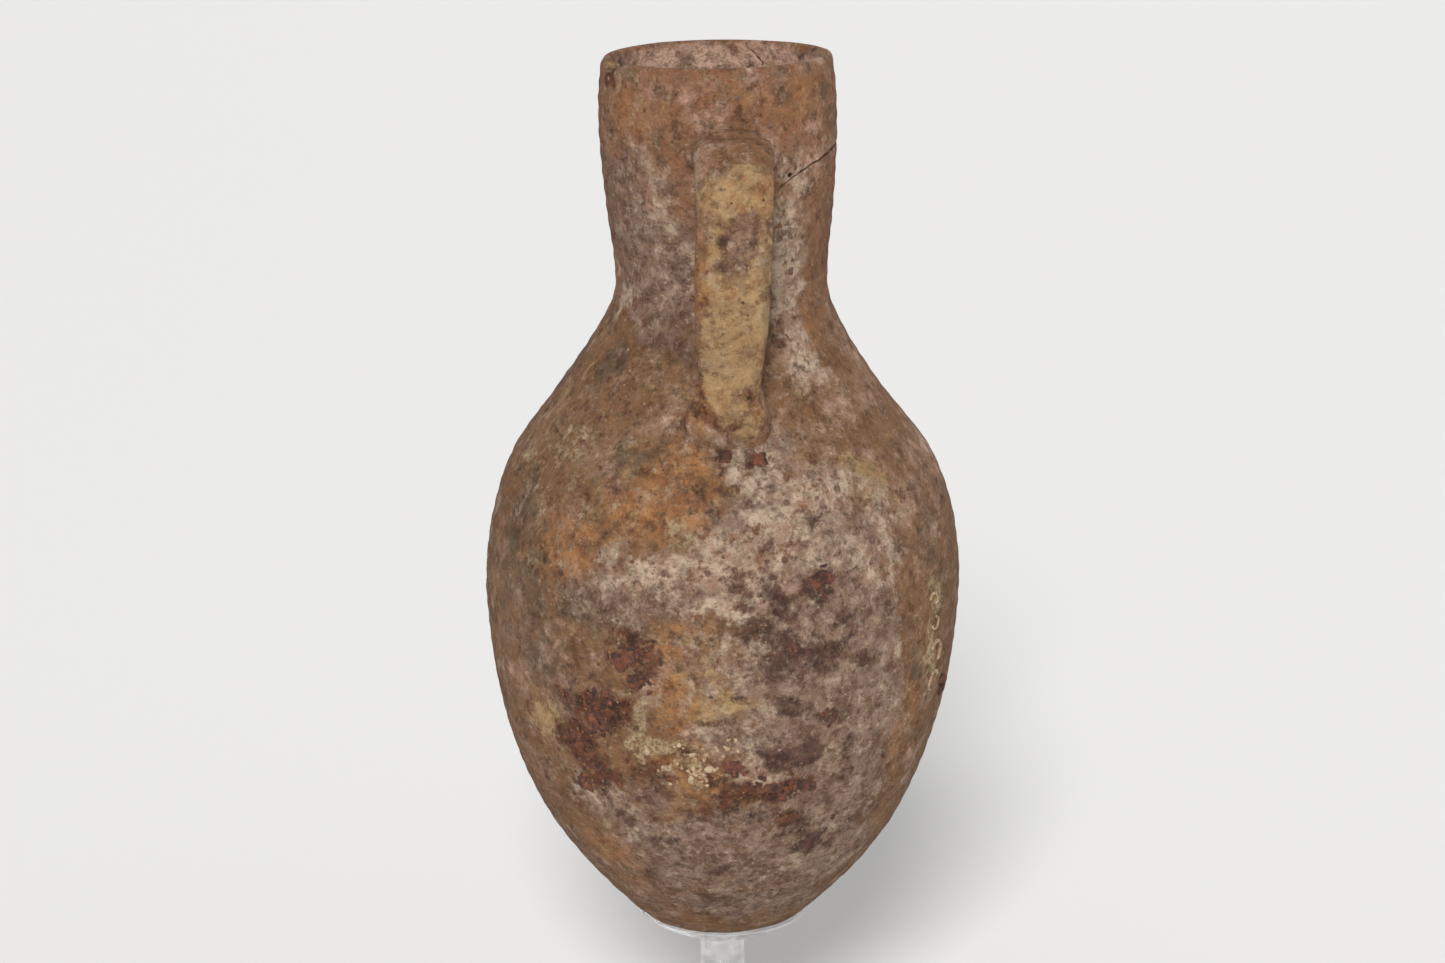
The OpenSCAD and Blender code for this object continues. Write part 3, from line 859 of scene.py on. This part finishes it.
def base_piece():
    """The clear round base, with polished bevels and a socket for the stem."""
    edge = 1.0
    outline = [(0, FLOOR_H), (BASE_R - edge, FLOOR_H)]
    outline += arc(BASE_R - edge, FLOOR_H + edge, edge, 15, 90, 5)
    outline += arc(BASE_R - edge, FLOOR_H + BASE_T - edge, edge, 90, 180, 6)
    outline += [(SPIGOT_R, FLOOR_H + BASE_T), (SPIGOT_R, FLOOR_H + BASE_T - SPIGOT_L),
                (0, FLOOR_H + BASE_T - SPIGOT_L)]
    return finish_mesh(spun(np.array(outline), 200), "clear_base")


# ---------------------------------------------------------------- materials

def linear(code):
    """An sRGB hex colour as linear RGBA."""
    parts = [int(code[i:i + 2], 16) / 255 for i in (1, 3, 5)]
    return (*[c / 12.92 if c <= 0.04045 else ((c + 0.055) / 1.055) ** 2.4 for c in parts], 1.0)


def add(tree, kind, inputs=None, **settings):
    """Adds a node with its settings, and fills its sockets with links, colours or numbers."""
    node = tree.nodes.new(kind)
    for name, value in settings.items():
        setattr(node, name, value)
    for name, value in (inputs or {}).items():
        socket = node.inputs[name]
        if isinstance(value, bpy.types.NodeSocket):
            tree.links.new(value, socket)
        else:
            socket.default_value = linear(value) if isinstance(value, str) else value
    return node


def new_material(name):
    material = bpy.data.materials.new(name)
    material.use_nodes = True
    tree = material.node_tree
    tree.nodes.clear()
    shader = add(tree, "ShaderNodeBsdfPrincipled")
    add(tree, "ShaderNodeOutputMaterial", {"Surface": shader.outputs["BSDF"]})
    coords = add(tree, "ShaderNodeTexCoord").outputs["Object"]
    return material, tree, shader, coords


def cloud(tree, coords, size, seed, detail=9.0, share=0.74):
    """Fractal noise about 0.3 to 0.7, whose largest patches are size millimetres across."""
    return add(tree, "ShaderNodeTexNoise", {"Vector": coords, "W": seed, "Scale": 1000 / size,
                                            "Detail": detail, "Roughness": share},
               noise_dimensions="4D").outputs["Fac"]


def between(tree, value, low, high, top=1.0):
    """0 where the value is below low, top where it is above high, and a soft step between."""
    return add(tree, "ShaderNodeMapRange", {"Value": value, "From Min": low, "From Max": high,
                                            "To Max": top}, interpolation_type="SMOOTHSTEP").outputs[0]


def over(tree, share, under, upper):
    """One colour laid over another, by a share."""
    return add(tree, "ShaderNodeMix", {0: share, 6: under, 7: upper}, data_type="RGBA").outputs[2]


def dots(tree, coords, gap, size):
    """Round dots of mixed sizes up to size millimetres across, about gap millimetres apart."""
    cells = add(tree, "ShaderNodeTexVoronoi", {"Vector": coords, "Scale": 1000 / gap})
    wanted = add(tree, "ShaderNodeMath", {0: cells.outputs["Color"], 1: size / gap}, operation="MULTIPLY")
    left = add(tree, "ShaderNodeMath", {0: wanted.outputs[0], 1: cells.outputs["Distance"]},
               operation="SUBTRACT").outputs[0]
    return between(tree, left, 0.0, 0.12)


# Each stain, and the inside's pinkish slip painted paler as painted light: layer, three tones, size of its patches
# in millimetres, how sharp its edge is, cover.
STAINS = [
    # The inside's pinkish slip, its tones painted paler than the slip itself as painted light on the shaded inside
    # of the neck.
    ("inner", "#E8C2AB", "#DCB39C", "#C79C84", 16, 0.55, 1.0),
    ("buff", "#BF9D71", "#AF8D63", "#AC7F55", 9, 0.22, 0.92),
    ("ochre", "#BC8452", "#A0683F", "#C09A6C", 8, 0.48, 0.84),
    ("soot", "#655A45", "#514030", "#7A6A5A", 8, 0.45, 0.70),
    ("crust", "#D6BDA4", "#B08F7A", "#8C6248", 9, 0.38, 0.88),
    ("mauve", "#977A6A", "#70503F", "#BDA28D", 8, 0.42, 0.84),
    ("lime", "#CBB48D", "#98744F", "#76523C", 5, 0.42, 0.78),
    ("plum", "#64443A", "#3F2822", "#8A6653", 6, 0.36, 0.88),
    ("iron", "#6E402B", "#37221B", "#8F583A", 5, 0.46, 0.90),
]


def fired_clay(name, clay, warm, dark, pores=0.6):
    """Unglazed earthenware, thrown on a wheel and fired red-brown: matt, gritty and mottled.

    Long burial left mineral crust, rust, lime and soot on it, each stored as a layer.
    """
    material, tree, shader, coords = new_material(name)
    colour = over(tree, between(tree, cloud(tree, coords, 34, 0.1), 0.40, 0.60), clay, warm)
    colour = over(tree, between(tree, cloud(tree, coords, 11, 1.3), 0.50, 0.66, 0.75), colour, dark)
    # Turning left faint level bands in the wall.
    level = add(tree, "ShaderNodeMapping", {"Vector": coords, "Scale": (1.0, 1.0, 5.0)}).outputs[0]
    colour = over(tree, between(tree, cloud(tree, level, 26, 2.9), 0.50, 0.64, 0.6), colour, "#A17A5C")
    # Mineral bloom and iron in the clay, in ragged flecks a few millimetres across and less.
    colour = over(tree, between(tree, cloud(tree, coords, 7, 4.2), 0.54, 0.68, 0.7), colour, "#A0683F")
    colour = over(tree, between(tree, cloud(tree, coords, 6, 5.7), 0.55, 0.68, 0.7), colour, "#8B7468")
    colour = over(tree, between(tree, cloud(tree, coords, 3.5, 7.1), 0.58, 0.68, 0.7), colour, "#B0977C")
    ragged = cloud(tree, coords, 1.8, 9.9, 6.0)
    height = ragged
    for layer, first, second, third, size, edge, cover in STAINS:
        strength = add(tree, "ShaderNodeAttribute", attribute_name=layer).outputs["Fac"]
        reach = add(tree, "ShaderNodeMath", {0: cloud(tree, coords, size, size * 1.7 + cover), 1: 4.6,
                                             2: strength}, operation="MULTIPLY_ADD").outputs[0]
        share = between(tree, reach, 2.8 - edge, 2.8 + edge, cover)
        tone = over(tree, between(tree, cloud(tree, coords, size * 0.7, size + 3.3), 0.46, 0.56), first, second)
        tone = over(tree, between(tree, cloud(tree, coords, size * 0.5, size + 6.1), 0.53, 0.61), tone, third)
        colour = over(tree, share, colour, tone)
        height = add(tree, "ShaderNodeMath", {0: share, 1: 0.22, 2: height},
                     operation="MULTIPLY_ADD").outputs[0]
    # Plum-brown mineral spots in the crusted stretches.
    crusted = add(tree, "ShaderNodeAttribute", attribute_name="crust").outputs["Fac"]
    mauve = add(tree, "ShaderNodeAttribute", attribute_name="mauve").outputs["Fac"]
    either = add(tree, "ShaderNodeMath", {0: crusted, 1: mauve}, operation="MAXIMUM").outputs[0]
    some = between(tree, cloud(tree, coords, 16, 3.7), 0.44, 0.58, 0.75)
    spots = add(tree, "ShaderNodeMath", {0: dots(tree, coords, 3.6, 2.0), 1: some}, operation="MULTIPLY")
    spots = add(tree, "ShaderNodeMath", {0: spots.outputs[0], 1: either}, operation="MULTIPLY").outputs[0]
    colour = over(tree, spots, colour, "#65483F")
    height = add(tree, "ShaderNodeMath", {0: spots, 1: 0.3, 2: height}, operation="MULTIPLY_ADD").outputs[0]
    # Dirt in the hollows of the grain, from a millimetre or two down.
    inner = add(tree, "ShaderNodeAttribute", attribute_name="inner").outputs["Fac"]
    clean = add(tree, "ShaderNodeAttribute", attribute_name="buff").outputs["Fac"]
    clean = add(tree, "ShaderNodeMath", {0: inner, 1: clean}, operation="MAXIMUM").outputs[0]
    left = add(tree, "ShaderNodeMath", {0: clean, 1: -0.95, 2: 1.0}, operation="MULTIPLY_ADD").outputs[0]
    dirt = between(tree, cloud(tree, coords, 2.4, 8.8), 0.55, 0.64, 0.45)
    dirt = add(tree, "ShaderNodeMath", {0: dirt, 1: left}, operation="MULTIPLY").outputs[0]
    colour = over(tree, dirt, colour, "#4C362A")
    height = add(tree, "ShaderNodeMath", {0: dirt, 1: -0.25, 2: height}, operation="MULTIPLY_ADD").outputs[0]
    # Pale grit that the potter mixed into the clay, up to a millimetre across.
    grit = add(tree, "ShaderNodeMath", {0: dots(tree, coords, 2.7, 0.8), 1: 0.55}, operation="MULTIPLY")
    colour = over(tree, grit.outputs[0], colour, "#C3A683")
    # Small pores where air and plant scraps left the clay.
    some = between(tree, cloud(tree, coords, 14, 6.6), 0.46, 0.56, pores)
    pits = add(tree, "ShaderNodeMath", {0: dots(tree, coords, 3.4, 0.75), 1: some}, operation="MULTIPLY")
    colour = over(tree, pits.outputs[0], colour, "#3B2A20")
    height = add(tree, "ShaderNodeMath", {0: pits.outputs[0], 1: -0.6, 2: height},
                 operation="MULTIPLY_ADD").outputs[0]
    bump = add(tree, "ShaderNodeBump", {"Height": height, "Strength": 1.0, "Distance": 2.3 * MM})
    tree.links.new(colour, shader.inputs["Base Color"])
    tree.links.new(bump.outputs["Normal"], shader.inputs["Normal"])
    shader.inputs["Roughness"].default_value = 0.86
    shader.inputs["IOR"].default_value = 1.5
    shader.inputs["Specular IOR Level"].default_value = 0.25
    return material


def crust_material(name, tones, size, depth, roughness):
    """A mineral crust: three tones in ragged patches, with a grainy surface."""
    material, tree, shader, coords = new_material(name)
    colour = over(tree, between(tree, cloud(tree, coords, size, 0.4), 0.42, 0.58), tones[0], tones[1])
    colour = over(tree, between(tree, cloud(tree, coords, size * 0.6, 2.2), 0.52, 0.64), colour, tones[2])
    grain = cloud(tree, coords, 1.4, 5.5, 6.0)
    bump = add(tree, "ShaderNodeBump", {"Height": grain, "Strength": 0.9, "Distance": depth * MM})
    tree.links.new(colour, shader.inputs["Base Color"])
    tree.links.new(bump.outputs["Normal"], shader.inputs["Normal"])
    shader.inputs["Roughness"].default_value = roughness
    return material


def clear_acrylic():
    """Cast acrylic, turned and polished: water-clear and glossy, with a trace of dust. Its white base colour, not
    fully transmissive, adds a white diffuse share as painted sheen for its whitish reflections.
    """
    material, tree, shader, coords = new_material("polished_clear_acrylic")
    # White base colour with transmission below one: the white diffuse share left over is painted sheen standing in
    # for reflections on the clear acrylic.
    shader.inputs["Base Color"].default_value = linear("#FDFDFC")
    shader.inputs["Transmission Weight"].default_value = 0.86
    shader.inputs["Alpha"].default_value = 0.5
    shader.inputs["IOR"].default_value = 1.49
    dust = between(tree, cloud(tree, coords, 6, 1.1), 0.45, 0.70, 0.12)
    haze = add(tree, "ShaderNodeMath", {0: dust, 1: 0.04}, operation="ADD").outputs[0]
    tree.links.new(haze, shader.inputs["Roughness"])
    return material


def adhesive_material():
    """Old conservation adhesive set in the joint: dark brown and slightly glossy."""
    material, tree, shader, coords = new_material("dark_joint_adhesive")
    tone = over(tree, between(tree, cloud(tree, coords, 4, 3.0), 0.42, 0.58), "#3A261B", "#5B3F2B")
    tree.links.new(tone, shader.inputs["Base Color"])
    shader.inputs["Roughness"].default_value = 0.6
    return material


# ---------------------------------------------------------------- putting it together

clay_body = fired_clay("fired_clay_belly", "#936D4D", "#845D3E", "#6B4C34")
clay_neck = fired_clay("fired_clay_neck", "#9C7052", "#926346", "#744F39")
clay_strap = fired_clay("fired_clay_handles", "#987052", "#8D6346", "#704F39", pores=0.95)
iron_crust = crust_material("iron_rich_crust", ("#6B3C29", "#33201A", "#8A5234"), 5.0, 1.0, 0.80)
lime_crust = crust_material("lime_crust", ("#BDA789", "#96775A", "#79533C"), 3.0, 1.0, 0.85)
acrylic = clear_acrylic()
adhesive = adhesive_material()


def settle(obj, material, body, slot, *nodes):
    """Gives a finished piece its material, the body it moves with and the CAD solids it stands for."""
    obj.data.materials.clear()
    obj.data.materials.append(material)
    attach(obj, body)
    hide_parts(*nodes)


settle(belly_piece(), clay_body, "vessel", "fired_clay", "body")
neck, sherd, glue = neck_pieces()
settle(neck, clay_neck, "vessel", "fired_clay", "neck")
settle(sherd, clay_neck, "vessel", "fired_clay", "neck_sherd")
settle(glue, adhesive, "vessel", "mend_adhesive", "mend_adhesive")
for side, lean, front in (("front", 2.0, 1), ("back", -1.0, -1)):
    settle(strap_piece("handle_strap_" + side, lean, front), clay_strap, "vessel", "handle_clay",
           "handle_" + side)
    for place_word, upper in (("upper", True), ("lower", False)):
        settle(luting_piece("smeared_clay_" + side + "_" + place_word, lean, front, upper), clay_strap,
               "vessel", "handle_clay", "luting_" + side + "_" + place_word)
settle(nodule_piece(), iron_crust, "vessel", "iron_crust", "iron_nodules")
settle(flake_piece(), lime_crust, "vessel", "lime_crust", "lime_flakes")
settle(scar_piece(), lime_crust, "vessel", "lime_crust", "shell_scars")
settle(dish_piece(), acrylic, "stand", "clear_acrylic", "stand_dish")
settle(stem_piece(), acrylic, "stand", "clear_acrylic", "stand_stem")
settle(base_piece(), acrylic, "stand", "clear_acrylic", "stand_base")


# ---------------------------------------------------------------- floor, light and camera

floor_bm = bmesh.new()
bmesh.ops.create_grid(floor_bm, x_segments=1, y_segments=1, size=6.0)
floor = finish_mesh(floor_bm, "floor")
floor_look, floor_tree, floor_shader, _ = new_material("pale_matt_paper")
floor_shader.inputs["Base Color"].default_value = linear("#E6E5E3")
floor_shader.inputs["Roughness"].default_value = 0.9
floor.data.materials.append(floor_look)

scene = bpy.context.scene
world = bpy.data.worlds.new("pale_room")
world.use_nodes = True
world.node_tree.nodes["Background"].inputs["Color"].default_value = linear("#F2F3F5")
world.node_tree.nodes["Background"].inputs["Strength"].default_value = 0.40
scene.world = world
scene.view_settings.view_transform = "Standard"


def soft_light(name, size, power, spot, aim):
    """A square soft light of a size in metres, at a spot and turned to aim at a point."""
    lamp = bpy.data.lights.new(name, "AREA")
    lamp.size = size
    lamp.energy = power
    obj = bpy.data.objects.new(name, lamp)
    obj.location = spot
    obj.rotation_euler = (Vector(aim) - Vector(spot)).to_track_quat("-Z", "Y").to_euler()
    scene.collection.objects.link(obj)


def broad_light(name, strength, spread, way):
    """An even light over the whole scene, coming along a direction, with a spread in degrees."""
    lamp = bpy.data.lights.new(name, "SUN")
    lamp.energy = strength
    lamp.angle = math.radians(spread)
    obj = bpy.data.objects.new(name, lamp)
    obj.rotation_euler = Vector(way).to_track_quat("-Z", "Y").to_euler()
    scene.collection.objects.link(obj)


broad_light("key_light", 3.15, 16, (0.16, 1.0, -0.64))
broad_light("back_light", 0.9, 35, (-0.25, -1.0, -0.60))
soft_light("fill_card", 1.2, 2.0, (1.3, -0.9, 0.6), (0, 0, 0.2))

AZIMUTH, DOWN, DISTANCE = math.radians(-3.0), math.radians(14.156), 1.2234
lens = bpy.data.cameras.new("camera")
lens.sensor_width = 36.0
lens.lens = 91.23
camera = bpy.data.objects.new("camera", lens)
camera.location = (DISTANCE * math.sin(AZIMUTH), -DISTANCE * math.cos(AZIMUTH), TIP_Z + 0.4704)
camera.rotation_euler = (math.pi / 2 - DOWN, 0, AZIMUTH)
scene.collection.objects.link(camera)
scene.camera = camera
